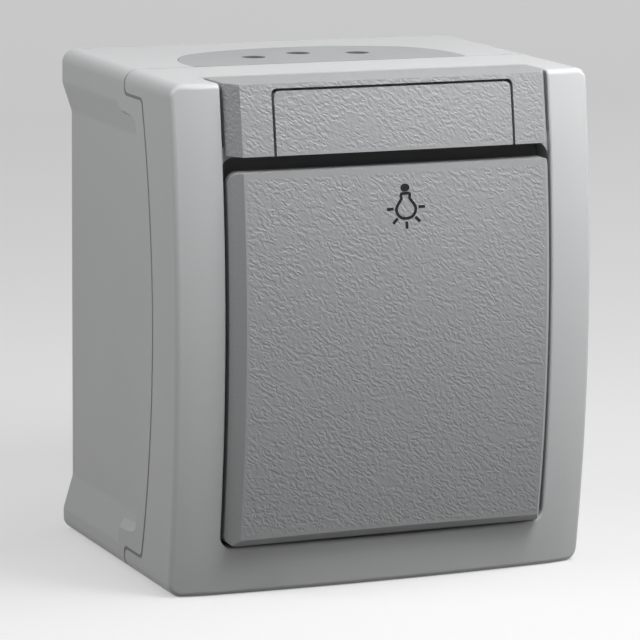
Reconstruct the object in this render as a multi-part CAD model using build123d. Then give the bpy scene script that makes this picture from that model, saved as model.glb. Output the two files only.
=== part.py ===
from build123d import *
import os
from math import asin, degrees, radians, sin, sqrt

# Surface-mounted light push switch, splash-proof, one gang.
# Millimetres. The origin is the centre of the back face, which lies on the wall.
# +X is right seen from the front, -Y points out of the wall, +Z is up.
# A "depth" is a distance from the wall, so it lies at y = -depth.

# Outer housing
width = 66.0                  # across the cover
height = 75.0                 # cover and box
face_depth = 53.6             # front of key and band, at mid height and half width
edge_behind = 4.4             # front edge of the cover's sides, behind the face
barrel_drop = 3.0             # how far that edge falls back at the top and bottom
crown = 1.3                   # rise from the side edge to the opening's edge
centre_crown = 0.9            # further rise from there to the middle
crown_margin = 0.6            # where the sides start to round off, outside the opening
corner_radius = 2.0           # four long corners of the housing
inner_radius = 1.0            # the same corners inside the box
front_round = 0.9             # front edges of the cover
box_wall = 2.2
back_wall = 2.5
cover_wall = 2.0

# Joint between box and cover
seam_behind = 26.2            # seam at top and bottom, behind the face
seam_side_step = 7.3          # from there to where the curve along the side starts
seam_bulge = 4.6              # how much further forward the curve is at mid height
seam_end = 3.7                # from the top and bottom to the ends of the curve
seam_corner = 1.0             # radius of the two bends of the step
seam_gap = 0.45

# Waist along both sides of the box
waist_depth = 1.5
waist_border = 2.4            # flush strip between waist and seam
waist_end_top = 9.5           # from the top to the waist
waist_end_bottom = 8.5
waist_slope_top = 4.5
waist_slope_bottom = 5.0

# Rim and gasket inside the seam
rim_wall = 1.5
rim_height = 2.0              # how far the rim stands out of the box
rim_root = 3.0                # how far it runs down the box wall
rim_clearance = 0.2
gasket_width = 1.1
gasket_thickness = 1.2
press_rib_height = 1.4
lip_inset = 0.05              # the gasket's outer lip fills the seam, just below the surface
lip_clearance = 0.02
web_half_width = 3.0          # webs that join the lip to the ring, at mid height
web_clearance = 0.05

# Cable entry in the box's top
entry_side = 11.0             # from the box's side to the cable entry
entry_rear_depth = 8.0
entry_shoulder_step = 4.5
entry_shoulder_depth = 12.5
entry_lip = 1.2               # the membrane's flange inside the box
entry_flange = 1.0            # how far the flange reaches under the wall
entry_skin = 1.4              # thickness of the membrane inside its flange
entry_clearance = 0.1
dimple_radius = 1.9
dimple_drop = 0.9
dimple_places = ((-9.0, 18.4), (-0.6, 15.6), (8.2, 17.9))
knockout_radius = 10.0        # ring scored in the box's bottom
knockout_groove = 0.4
knockout_groove_depth = 0.7
knockout_depth = 15.5

# Wall fixing
slot_length = 8.0
slot_width = 4.5
slot_margin_x = 24.0          # width less the slots' spacing
slot_margin_z = 22.0          # height less the slots' spacing

# Opening in the cover
stile_width = 7.13            # cover beside the opening
opening_sill = 7.2            # cover below the opening
opening_head = 10.6           # from the top to the bar between key and band
opening_radius = 1.9
opening_round = 0.35          # small round of the opening's front edge
well_wall = 2.0
well_bar = 1.5                # bar between the key's well and the band's seat
well_bar_behind = 5.3
shelf_behind = 12.6           # front of the shelf that carries the seal
shelf_thickness = 2.0
shelf_side = 6.87             # width of the shelf at the sides
shelf_end = 7.6               # and at the top and bottom
shelf_radius = 3.0

# Faces of key and band
face_drop = 3.5               # how far the face falls back at the top and bottom
face_crown = 0.3
side_gap = 0.5
bevel_width = 1.6
bevel_depth = 2.6

# Key
top_gap = 1.9                 # between key and bar
bottom_gap = 0.45
key_radius = 1.7
key_wall = 2.2
key_top_round = 1.0
key_bottom_bevel = 1.3
key_bottom_bevel_depth = 1.9
skirt_behind_bottom = 7.2     # rear edge of the key's skirt
skirt_behind_top = 5.1
key_rib_width = 1.4
key_rib_spacing = 12.0

# Band over the key, and the marking plate in it
band_bottom_gap = 0.4         # between band and bar
band_rear_behind = 14.0       # rear edge of its wrap over the top
band_wall = 2.3
band_wrap = 1.5
band_edge_round = 0.9
band_gap = 0.1
band_seat_behind = 9.6
band_seat_wall = 2.0
clip_width = 6.0
clip_thickness = 1.6
clip_side = 7.5               # from a cover screw to a clip
clip_hook = 0.8
clip_hook_length = 1.4
plate_side = 7.27             # band beside the plate
plate_end = 1.1               # band above the plate
plate_thickness = 1.3
plate_groove = 0.4
plate_radius = 0.8
plate_seat_gap = 0.05
plate_peg_radius = 1.2
plate_peg_length = 1.9
plate_peg_step = 6.0          # from a clip to a peg

# Seal behind the key
seal_behind = 9.0             # its front face
seal_thickness = 1.2
seal_gap = 0.15
seal_side_reach = 2.6         # how far it reaches in over the shelf
seal_end_reach = 1.6
seal_lip = 1.2

# Cover screws
cover_screw_side = 4.37       # from the opening's side
cover_screw_top = 6.5
post_radius = 2.6
post_behind = 28.6            # front end of the box's posts, behind the face
screw_radius = 1.5
screw_clearance = 0.15
screw_head_radius = 2.4
screw_head_height = 1.7
cover_screw_length = 28.0
insert_screw_length = 12.0
screw_slot = 0.8
screw_boss_radius = 3.6       # round the head, behind the band's seat
screw_boss_height = 2.2
hook_spacing = 36.0           # two hooks along the cover's bottom
hook_width = 8.0
hook_thickness = 1.5
hook_nub = 1.2
hook_nub_length = 1.6

# Switch insert
insert_side_gap = 3.0         # between insert and post
insert_end_reach = 1.0         # beyond the key's carrier
insert_length = 18.8          # behind the support plate
insert_radius = 2.0
support_behind = 20.8         # rear face of the support plate, behind the face
support_thickness = 1.2
support_gap = 0.9             # between the plate's end and the rim
support_ear_half_height = 9.0
insert_screw_edge = 2.8
insert_cover_thickness = 2.2
chamber_half_width = 10.5
chamber_bottom = -8.0         # from the insert's centre
chamber_end = 5.0             # from the plunger to the chamber's top
chamber_length = 9.4          # from the support plate back to its floor
terminal_x = 8.2
terminal_size = 7.0
terminal_length = 8.0
terminal_rear_wall = 2.0
terminal_clearance = 0.15
terminal_bottom = 3.0         # from the insert's bottom end to the clamp
wire_radius = 1.6
terminal_screw_length = 4.6
rivet_radius = 1.5
rivet_head_radius = 2.4
rivet_head = 0.7
rivet_edge_x = 2.7
rivet_edge_z = 3.4
rivet_clearance = 0.05

# Hinge of the key
pivot_behind = 10.6           # behind the face
pin_radius = 1.25
pin_clearance = 0.05
ear_gap = 1.4                 # between ear and seal
ear_thickness = 2.4
ear_half_height = 3.2
hinge_boss_radius = 2.9
hinge_gap = 0.3               # between ear and cheek
carrier_end_gap = 1.4         # between carrier and seal
carrier_behind = 6.0          # front face, on which the key's posts sit
carrier_thickness = 2.0
cheek_thickness = 2.2
key_post_edge_x = 3.8         # from the carrier's side
key_post_edge_z = 4.0
key_post_radius = 2.3
key_peg_radius = 1.4
key_peg_clearance = 0.1
key_peg_length = 2.6
press_angle = 5.0             # travel of the key, degrees

# Contacts
plunger_edge = 5.0            # from the carrier's top end
plunger_radius = 2.2
plunger_clearance = 0.08
plunger_head_radius = 3.4
plunger_head_height = 1.6
plunger_head_behind = 9.4
plunger_gap = 0.2             # between nub and plunger head
nub_radius = 1.8
guide_wall = 1.4
guide_front = 3.3             # in front of the insert's cover
guide_rear = 1.8              # behind the support plate
bridge_behind = 5.8           # rear face of the bridge, behind the support plate
bridge_thickness = 0.8
bridge_half_length = 8.0
bridge_half_height = 2.0
tip_x = 6.0
tip_radius = 1.4
tip_height = 0.8
contact_gap = 1.2
strip_thickness = 0.8
strip_half_width = 2.2
flange_radius = 2.6
flange_height = 1.5
guide_pin_radius = 1.3
guide_pin_length = 3.0
spring_mean_radius = 2.2
spring_wire_radius = 0.25
spring_turns = 5.0
spring_well_radius = 3.2
spring_well_floor = 3.0
spring_end_gap = 0.02

# Outline and opening, worked out from the sizes above
half_width = width / 2
half_height = height / 2
seam_side_height = half_height - seam_end
waist_top = half_height - waist_end_top
waist_bottom = waist_end_bottom - half_height
inner_half_height = half_height - box_wall
rim_half_width = half_width - waist_depth - box_wall + rim_wall
rim_half_height = inner_half_height
rim_side_height = (rim_half_height - rim_wall - rim_clearance
                   - rim_height - gasket_thickness - press_rib_height)
entry_half_width = half_width - entry_side
entry_shoulder_half_width = entry_half_width - entry_shoulder_step
slot_spacing_x = width - slot_margin_x
slot_spacing_z = height - slot_margin_z
opening_half_width = half_width - stile_width
opening_bottom = opening_sill - half_height
opening_top = half_height - opening_head
opening_half_height = (opening_top - opening_bottom) / 2
bar_top = opening_top + well_bar
shelf_half_width = opening_half_width - shelf_side
shelf_half_height = opening_half_height - shelf_end
seal_opening_half_width = shelf_half_width - seal_side_reach
seal_opening_half_height = shelf_half_height - seal_end_reach
key_half_width = opening_half_width - side_gap
key_bottom = opening_bottom + bottom_gap
key_top = opening_top - top_gap
band_half_width = opening_half_width - side_gap
band_bottom = opening_top + band_bottom_gap
cover_screw_x = opening_half_width - cover_screw_side
cover_screw_z = half_height - cover_screw_top
clip_spacing = 2 * (cover_screw_x - clip_side)
plate_half_width = opening_half_width - plate_side
plate_top = half_height - plate_end
plate_peg_spacing = clip_spacing - 2 * plate_peg_step

# Depths of the parts behind the face
edge_depth = face_depth - edge_behind
seam_depth = face_depth - seam_behind
seam_side_depth = seam_depth + seam_side_step
well_bar_depth = face_depth - well_bar_behind
shelf_depth = face_depth - shelf_behind
seal_depth = face_depth - seal_behind
skirt_depth_bottom = face_depth - skirt_behind_bottom
skirt_depth_top = face_depth - skirt_behind_top
band_rear_depth = face_depth - band_rear_behind
band_seat_depth = face_depth - band_seat_behind
post_depth = face_depth - post_behind
cover_screw_seat = band_seat_depth - screw_head_height - screw_clearance
pivot_depth = face_depth - pivot_behind
carrier_depth = face_depth - carrier_behind
plunger_head_depth = face_depth - plunger_head_behind
support_depth = face_depth - support_behind
insert_front = support_depth + support_thickness
insert_rear_depth = support_depth - insert_length
cover_plate_front = insert_front + insert_cover_thickness
guide_front_depth = cover_plate_front + guide_front
guide_rear_depth = support_depth - guide_rear
chamber_floor_depth = support_depth - chamber_length
terminal_rear_depth = insert_rear_depth + terminal_rear_wall
spring_well_depth = insert_rear_depth + spring_well_floor
bridge_depth = support_depth - bridge_behind
fixed_tip_front = bridge_depth - tip_height - contact_gap
strip_front = fixed_tip_front - tip_height

# Places of the hinge and the insert
pivot_z = (key_top + key_bottom) / 2
ear_inner_x = seal_opening_half_width - ear_gap - ear_thickness
carrier_half_width = ear_inner_x - hinge_gap
carrier_half_height = seal_opening_half_height - carrier_end_gap
post_spacing_x = 2 * (carrier_half_width - key_post_edge_x)
post_spacing_z = 2 * (carrier_half_height - key_post_edge_z)
plunger_z = carrier_half_height - plunger_edge
contact_z = pivot_z + plunger_z
support_half_width = rim_half_width - rim_wall - support_gap
insert_screw_x = support_half_width - insert_screw_edge
insert_half_width = insert_screw_x - post_radius - insert_side_gap
insert_half_height = carrier_half_height + insert_end_reach
insert_bottom = pivot_z - insert_half_height
rivet_x = insert_half_width - rivet_edge_x
rivet_z = insert_half_height - rivet_edge_z
chamber_top = plunger_z + chamber_end
chamber_z = pivot_z + (chamber_bottom + chamber_top) / 2
chamber_height = chamber_top - chamber_bottom
terminal_z = insert_bottom + terminal_bottom


# Building helpers

def block(x0, x1, depth0, depth1, z0, z1):
    """A block between two corners, its depths measured from the wall."""
    centre = ((x0 + x1) / 2, -(depth0 + depth1) / 2, (z0 + z1) / 2)
    return Pos(*centre) * Box(abs(x1 - x0), abs(depth1 - depth0), abs(z1 - z0))


def front_prism(face, depth0, depth1):
    """A face drawn as seen from the front, between two depths."""
    return extrude(Plane.XZ.offset(depth0) * face, amount=depth1 - depth0, dir=(0, -1, 0))


def rod(x, z, radius, depth0, depth1):
    """A round rod square to the wall."""
    return front_prism(Pos(x, z) * Circle(radius), depth0, depth1)


def cross_rod(radius, x0, x1, depth, z):
    """A round rod along X."""
    disc = Plane.YZ.offset(x0) * Pos(-depth, z) * Circle(radius)
    return extrude(disc, amount=x1 - x0)


def side_prism(points, half_length):
    """A polygon of (depth, z) points, drawn from the side and run along X."""
    outline = Polyline([(-depth, z) for depth, z in points], close=True)
    return extrude(Plane.YZ * make_face(outline), amount=half_length, both=True)


def bowed_radius(drop):
    """Radius of an arc that falls back by drop at half the height."""
    return (half_height ** 2 + drop ** 2) / (2 * drop)


def barrel(section, front_depth, drop):
    """Sweep a plan section up and down the bowed front, about its far axis."""
    radius = bowed_radius(drop)
    axis = Axis((0, radius - front_depth, 0), (1, 0, 0))
    reach = 1.3 * degrees(asin(half_height / radius))
    return revolve(section.rotate(axis, -reach), axis=axis, revolution_arc=2 * reach)


def face_section(half, rear_depth, inset=0.0):
    """Plan section of key and band: bevelled sides, crowned outside and straight inside."""
    edge = face_depth - face_crown - inset
    lines = Polyline(
        (-half + bevel_width, -edge),
        (-half, -edge + bevel_depth),
        (-half, -rear_depth),
        (half, -rear_depth),
        (half, -edge + bevel_depth),
        (half - bevel_width, -edge),
    )
    if inset:
        return make_face([lines, Line(lines @ 1, lines @ 0)])
    return make_face([lines, ThreePointArc(lines @ 1, (0, -face_depth), lines @ 0)])


def cover_section(inset=0.0):
    """Plan section of the cover: flatter middle, sides that round off."""
    rear = -seam_depth + box_wall
    side = half_width
    shoulder = opening_half_width + opening_round + crown_margin
    front = ThreePointArc(
        (-shoulder, -(edge_depth + crown - inset)),
        (0, -(edge_depth + crown + centre_crown - inset)),
        (shoulder, -(edge_depth + crown - inset)),
    )
    right = TangentArc(front @ 1, (side, -(edge_depth - inset)), tangent=front % 1)
    left = TangentArc(front @ 0, (-side, -(edge_depth - inset)), tangent=-(front % 0))
    sides = Polyline(right @ 1, (side, rear), (-side, rear), left @ 1)
    return make_face([front, right, sides, left])


def barrel_depth(front_depth, drop, z):
    """Depth of a bowed front at height z."""
    radius = bowed_radius(drop)
    return front_depth - radius + sqrt(radius ** 2 - z ** 2)


# Seam

def seam_profile(grow, side_height):
    """All that lies behind the seam, seen from the side and moved forward by grow."""
    depth = seam_depth + grow
    side = seam_side_depth + grow
    step = side_height + grow
    lines = [
        Line((-side, step), (-depth, step)),
        Line((-depth, step), (-depth, height)),
        Line((-depth, height), (height, height)),
        Line((height, height), (height, -height)),
        Line((height, -height), (-depth, -height)),
        Line((-depth, -height), (-depth, -step)),
        Line((-depth, -step), (-side, -step)),
        ThreePointArc((-side, -step), (-side - seam_bulge, 0), (-side, step)),
    ]
    face = make_face(lines)
    bends = [v for v in face.vertices() if abs(abs(v.Y) - step) < 0.01]
    return fillet(bends, seam_corner)


def behind_seam(grow, side_height=seam_side_height):
    """The same as a solid, right across the switch."""
    return extrude(Plane.YZ * seam_profile(grow, side_height), amount=width, both=True)


def rim_layer(start, end):
    """What lies between two distances in front of the seam, as the rim runs."""
    return behind_seam(end, rim_side_height) - behind_seam(start, rim_side_height)


def rim_ring(outer_inset, inner_inset):
    """A ring just inside the housing, from back to front."""
    outer = RectangleRounded(
        2 * (rim_half_width - outer_inset), 2 * (rim_half_height - outer_inset), corner_radius)
    inner = RectangleRounded(
        2 * (rim_half_width - inner_inset), 2 * (rim_half_height - inner_inset), corner_radius)
    return front_prism(outer - inner, seam_depth - rim_root, edge_depth)


# Box

def box_outline(inset=0.0, radius=corner_radius):
    """The box seen from the front, with a waist along both sides."""
    wide = half_width - inset
    tall = half_height - inset
    right = [
        (wide, -tall),
        (wide, waist_bottom - waist_slope_bottom),
        (wide - waist_depth, waist_bottom),
        (wide - waist_depth, waist_top),
        (wide, waist_top + waist_slope_top),
        (wide, tall),
    ]
    left = [(-x, z) for x, z in reversed(right)]
    face = make_face(Polyline(*right, *left, close=True))
    return fillet(face.vertices(), radius)


def waist_air():
    """Space beside the waist, with a bevelled end behind the seam."""
    floor = Plane.YZ.offset(half_width - waist_depth) * seam_profile(
        -waist_border - waist_depth, seam_side_height)
    right = extrude(floor, amount=2 * waist_depth, taper=-45)
    return right + mirror(right, about=Plane.YZ)


def entry_outline(grow=0.0):
    """The cable entry seen from above: straight in front, bowed at the back."""
    reach = entry_half_width + grow
    shoulder = entry_shoulder_half_width + grow
    front = -seam_depth
    shoulder_y = -(entry_shoulder_depth - grow)
    rear_y = -(entry_rear_depth - grow)
    bend = (0.96 * reach, (front + 1.6 * shoulder_y) / 2.6)
    rear = ThreePointArc((-shoulder, shoulder_y), (0, rear_y), (shoulder, shoulder_y))
    right = ThreePointArc((shoulder, shoulder_y), bend, (reach, front))
    left = ThreePointArc((-shoulder, shoulder_y), (-bend[0], bend[1]), (-reach, front))
    return make_face([rear, right, Line(right @ 1, left @ 1), left])


def entry_layer(outline, z0, z1):
    """An outline seen from above, between two heights."""
    return extrude(Pos(0, 0, z0) * outline, amount=z1 - z0, dir=(0, 0, 1))


def slot_places():
    """Centres of the four wall slots."""
    return [
        (side * slot_spacing_x / 2, pivot_z + end * slot_spacing_z / 2)
        for side in (-1, 1) for end in (-1, 1)
    ]


def back_box():
    outline = RectangleRounded(width, height, corner_radius)
    shell = front_prism(outline, 0, edge_depth) - waist_air()
    shell += front_prism(box_outline(), 0, edge_depth)
    cavity = front_prism(box_outline(box_wall, inner_radius), back_wall, edge_depth)
    body = (shell - cavity) & behind_seam(0)
    body -= rim_ring(0, rim_wall) - behind_seam(rim_height, rim_side_height)
    body += rim_ring(0, rim_wall) & rim_layer(-rim_root, rim_height)
    body -= gasket_webs(web_clearance)
    for x in (-cover_screw_x, cover_screw_x):
        body += rod(x, cover_screw_z, post_radius, back_wall, post_depth)
        side = half_width - 1 if x > 0 else 1 - half_width
        body += block(x, side, back_wall, post_depth, cover_screw_z - 1, cover_screw_z + 1)
    for side in (-1, 1):
        x = side * insert_screw_x
        body += rod(x, pivot_z, post_radius, back_wall, support_depth)
        body += block(x, side * (half_width - waist_depth - 1), back_wall, support_depth,
                      pivot_z - 1, pivot_z + 1)
    for x in (-cover_screw_x, cover_screw_x):
        body -= rod(x, cover_screw_z, screw_radius + screw_clearance,
                    cover_screw_seat - cover_screw_length - 1, post_depth + 1)
    for x in (-insert_screw_x, insert_screw_x):
        body -= rod(x, pivot_z, screw_radius + screw_clearance,
                    insert_front - insert_screw_length - 1, support_depth + 1)
    for x, z in slot_places():
        body -= front_prism(Pos(x, z) * SlotOverall(slot_length, slot_width), -1, back_wall + 1)
    body -= entry_layer(entry_outline(), inner_half_height, half_height + 1)
    ring = Circle(knockout_radius) - Circle(knockout_radius - knockout_groove)
    return body - Pos(0, -knockout_depth, -half_height) * extrude(
        ring, amount=knockout_groove_depth)


def entry_membrane():
    """Soft cable entry, flush with the top, held by a flange inside."""
    body = entry_layer(entry_outline(-entry_clearance), inner_half_height, half_height)
    flange = entry_layer(
        entry_outline(entry_flange), inner_half_height - entry_lip, inner_half_height)
    rim_rear = seam_depth - rim_root - entry_clearance
    body += flange & block(-half_width, half_width, 0, rim_rear, 0, height)
    body -= entry_layer(entry_outline(-entry_flange - entry_lip),
                        0, half_height - entry_skin)
    body = body - front_prism(Rectangle(width, height), seam_depth - entry_clearance, edge_depth)
    for x, depth in dimple_places:
        cone = Cone(dimple_radius / 3, dimple_radius, dimple_drop)
        body -= Pos(x, -depth, half_height - dimple_drop / 2) * cone
    return body


def gasket_webs(grow=0.0):
    """Two webs of the gasket, in notches of the rim."""
    inset = (rim_wall - gasket_width) / 2
    ring = rim_ring(-2 * web_clearance, inset + gasket_width)
    half = web_half_width + grow
    webs = ring & block(-width, width, 0, face_depth, -half, half)
    return webs & (behind_seam(rim_height + gasket_thickness / 2)
                   - behind_seam(lip_clearance - grow))


def cover_gasket():
    """Soft ring on the box's rim, and an outer lip that shows in the seam."""
    inset = (rim_wall - gasket_width) / 2
    ring = rim_ring(inset, inset + gasket_width)
    body = ring & rim_layer(rim_height, rim_height + gasket_thickness)
    outer = RectangleRounded(width - 2 * lip_inset, height - 2 * lip_inset, corner_radius)
    inner = RectangleRounded(2 * (rim_half_width + web_clearance),
                             2 * (rim_half_height + web_clearance), corner_radius)
    lip = front_prism(outer - inner, 0, edge_depth)
    lip &= behind_seam(seam_gap - lip_clearance) - behind_seam(lip_clearance)
    return body + lip + gasket_webs()


# Cover

def outer_edges(body):
    """Front edges along the cover's outside."""
    edges = []
    for edge in body.edges():
        points = [edge @ 0, edge @ 0.5, edge @ 1]
        front = all(-p.Y > barrel_depth(edge_depth, barrel_drop, p.Z) - 0.1 for p in points)
        outside = all(abs(p.X) > half_width - corner_radius - 0.01
                      or abs(p.Z) > half_height - 0.01 for p in points)
        if front and outside and edge.length > 0.5:
            edges.append(edge)
    return edges


def cover_hollow(wall):
    """The cover's outer form, made smaller by a wall, to hollow it."""
    inner = RectangleRounded(width - 2 * wall, height - 2 * wall, corner_radius - front_round)
    return front_prism(inner, 0, face_depth) & barrel(
        cover_section(wall), edge_depth, barrel_drop)


def opening_cut():
    """The opening for key and band: it runs out over the cover's top edge."""
    tall = 2 * height
    face = Pos(0, opening_bottom + tall / 2) * RectangleRounded(
        2 * opening_half_width, tall, opening_radius)
    return front_prism(face, band_rear_depth - band_gap, face_depth)


def opening_edges(body):
    """Front edges of the opening: both sides, both corners and the bottom."""
    edges = []
    for edge in body.edges():
        points = [edge @ 0, edge @ 0.5, edge @ 1]
        inside = all(abs(p.X) < opening_half_width + 0.01 for p in points)
        above = all(p.Z > opening_bottom - 0.01 for p in points)
        front = all(-p.Y > barrel_depth(edge_depth + 0.8 * crown, barrel_drop, p.Z)
                    for p in points)
        if inside and above and front:
            edges.append(edge)
    return edges


def cover_skin():
    """The cover's visible shell with its bowed front and its opening."""
    outline = RectangleRounded(width, height, corner_radius)
    body = front_prism(outline, seam_depth - box_wall, face_depth)
    body &= barrel(cover_section(), edge_depth, barrel_drop)
    body -= opening_cut()
    body = fillet(outer_edges(body), front_round)
    body = fillet(opening_edges(body), opening_round)
    return body - cover_hollow(cover_wall)


def well_frame():
    """Walls of the key's well, the shelf behind it, the bar and the band's seat."""
    reach = opening_half_width + well_wall
    rear = shelf_depth - shelf_thickness
    body = block(-reach, reach, rear, face_depth,
                 opening_bottom - well_wall, half_height - band_wrap)
    body &= cover_hollow(cover_wall / 2)
    tall = opening_top - opening_bottom
    well = Pos(0, opening_bottom + tall / 2) * RectangleRounded(
        2 * opening_half_width, tall, opening_radius)
    body -= front_prism(well, shelf_depth, face_depth)
    reach = opening_half_width
    body -= block(-reach, reach, well_bar_depth, face_depth, opening_bottom + opening_radius,
                  height)
    body -= block(-reach, reach, band_seat_depth, face_depth, bar_top, height)
    body -= block(-reach + 1, reach - 1, rear - 1, band_seat_depth - band_seat_wall,
                  bar_top + 0.5, half_height - band_wrap - band_seat_wall)
    window = Pos(0, pivot_z) * RectangleRounded(
        2 * shelf_half_width, 2 * shelf_half_height, shelf_radius)
    return body - front_prism(window, seam_depth, shelf_depth + 1)


def clip_places():
    return (-clip_spacing / 2, clip_spacing / 2)


def clip_z():
    """Height of the clips' middle."""
    return (bar_top + half_height - band_wrap) / 2


def front_cover():
    body = cover_skin() + well_frame() + press_rib()
    body -= behind_seam(seam_gap) - rim_keep()
    for x in (-cover_screw_x, cover_screw_x):
        body += screw_tube(x)
        body -= screw_bore(x)
    for x in clip_places():
        wide = clip_width / 2 + 2 * band_gap
        tall = clip_thickness / 2 + 2 * band_gap
        body -= block(x - wide, x + wide, seam_depth, band_seat_depth + 1,
                      clip_z() - tall - clip_hook, clip_z() + tall)
    for x in (-hook_spacing / 2, hook_spacing / 2):
        body += cover_hook(x)
    return body


def rim_keep():
    """Space inside the rim's ring, where the cover's inner parts may reach back."""
    inner = RectangleRounded(2 * (rim_half_width - rim_wall) - 2 * rim_clearance,
                             2 * (rim_half_height - rim_wall) - 2 * rim_clearance,
                             corner_radius)
    return front_prism(inner, 0, edge_depth)


def press_rib():
    """Ledge inside the cover that presses the gasket."""
    inset = (rim_wall - gasket_width) / 2
    outer = RectangleRounded(width - 2 * cover_wall + 0.4, height - 2 * cover_wall + 0.4,
                             corner_radius)
    inner = RectangleRounded(2 * (rim_half_width - inset - gasket_width),
                             2 * (rim_half_height - inset - gasket_width), corner_radius)
    ring = front_prism(outer - inner, seam_depth, edge_depth)
    start = rim_height + gasket_thickness
    return ring & rim_layer(start, start + press_rib_height)


def screw_tube(x):
    """Tube for a cover screw, from the band's seat back to the box's post."""
    tube = rod(x, cover_screw_z, post_radius, post_depth + seam_gap, band_seat_depth)
    boss = rod(x, cover_screw_z, screw_boss_radius, cover_screw_seat - screw_boss_height,
               band_seat_depth)
    return tube + boss


def screw_bore(x):
    """Hole for the screw's shank, and the sink for its head."""
    sink = rod(x, cover_screw_z, screw_head_radius + screw_clearance, cover_screw_seat,
               face_depth)
    shank = rod(x, cover_screw_z, screw_radius + screw_clearance, seam_depth - 5, face_depth)
    return sink + shank


def cover_hook(x):
    """One hook along the cover's bottom, which snaps in behind the box's rim."""
    wide = hook_width / 2
    bottom = -rim_half_height + rim_wall + rim_clearance
    top = bottom + hook_thickness
    nub_front = seam_depth - rim_root - rim_clearance / 2
    root_rear = seam_depth + rim_height + gasket_thickness
    root_front = root_rear + press_rib_height + hook_thickness
    arm = block(x - wide, x + wide, nub_front - hook_nub_length, root_front, bottom, top)
    root = block(x - wide, x + wide, root_rear, root_front, -half_height + cover_wall / 2, top)
    nub = block(x - wide, x + wide, nub_front - hook_nub_length, nub_front,
                bottom - hook_nub, bottom)
    return arm + root + nub


def machine_screw(x, z, seat_depth, length):
    """Cheese-head screw with a straight slot, its head in front of the seat."""
    shank = rod(x, z, screw_radius, seat_depth - length, seat_depth)
    head = rod(x, z, screw_head_radius, seat_depth, seat_depth + screw_head_height)
    head = chamfer(head.edges().group_by(Axis.Y)[0], screw_head_height / 5)
    slot = block(x - screw_head_radius, x + screw_head_radius,
                 seat_depth + screw_head_height / 2, seat_depth + screw_head_height + 1,
                 z - screw_slot / 2, z + screw_slot / 2)
    return shank + head - slot


def cover_screws():
    return [machine_screw(x, cover_screw_z, cover_screw_seat, cover_screw_length)
            for x in (-cover_screw_x, cover_screw_x)]


# Band and marking plate

def plate_outline(grow=0.0):
    """The marking plate seen from the front."""
    bottom = band_bottom - 1
    tall = plate_top + grow - bottom
    return Pos(0, bottom + tall / 2) * RectangleRounded(
        2 * (plate_half_width + grow), tall, plate_radius)


def face_shell(rear_depth, inset=0.0, half=band_half_width):
    """Everything behind the bowed face of key and band, as far as rear_depth."""
    return barrel(face_section(half, rear_depth, inset), face_depth, face_drop)


def label_band():
    reach = band_half_width
    rear = band_rear_depth
    body = face_shell(rear - 5) & block(-reach, reach, rear, face_depth, band_bottom, half_height)
    front = body.edges().filter_by_position(Axis.Z, half_height - 0.1, half_height + 0.1)
    front = front.filter_by(Axis.X).group_by(Axis.Y)[0]
    body = fillet(front, band_edge_round)
    side = band_wrap
    pocket = face_shell(rear - 5, band_wall) & block(
        -reach + side, reach - side, band_seat_depth - band_gap, face_depth,
        band_bottom - 1, half_height - band_wrap)
    under_wrap = block(-reach - 1, reach + 1, rear - 1, band_seat_depth + band_gap,
                       band_bottom - 1, half_height - band_wrap + band_gap)
    body -= pocket + under_wrap
    body -= block(-reach - 1, reach + 1, rear, well_bar_depth + band_gap,
                  band_bottom - 1, bar_top + band_gap)
    groove = front_prism(plate_outline(plate_groove), rear, face_depth + 1)
    seat = face_shell(rear - 5, plate_thickness)
    body -= groove - seat
    for x in (-plate_peg_spacing / 2, plate_peg_spacing / 2):
        body -= rod(x, plate_peg_z(), plate_peg_radius + band_gap, band_seat_depth, face_depth)
    for x in clip_places():
        body += band_clip(x)
    return body


def plate_peg_z():
    return (band_bottom + plate_top) / 2


def band_clip(x):
    """Hooked tongue behind the band."""
    wide = clip_width / 2
    z0 = clip_z() - clip_thickness / 2
    z1 = clip_z() + clip_thickness / 2
    hook_front = band_seat_depth - band_seat_wall - band_gap
    front = barrel_depth(face_depth, face_drop, z1) - band_wall / 2 - plate_thickness / 2
    tongue = block(x - wide, x + wide, hook_front - clip_hook_length, front, z0, z1)
    hook = block(x - wide, x + wide, hook_front - clip_hook_length, hook_front,
                 z0 - clip_hook, z0)
    return tongue + hook


def marking_plate():
    slab = front_prism(plate_outline(), band_seat_depth, face_depth + 1)
    slab &= block(-half_width, half_width, 0, face_depth + 1, band_bottom, height)
    body = slab & face_shell(band_rear_depth)
    body -= face_shell(band_rear_depth - 5, plate_thickness - plate_seat_gap)
    for x in (-plate_peg_spacing / 2, plate_peg_spacing / 2):
        front = barrel_depth(face_depth, face_drop, plate_peg_z()) - plate_thickness / 2
        body += rod(x, plate_peg_z(), plate_peg_radius, front - plate_peg_length, front)
    return body


# Key

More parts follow.
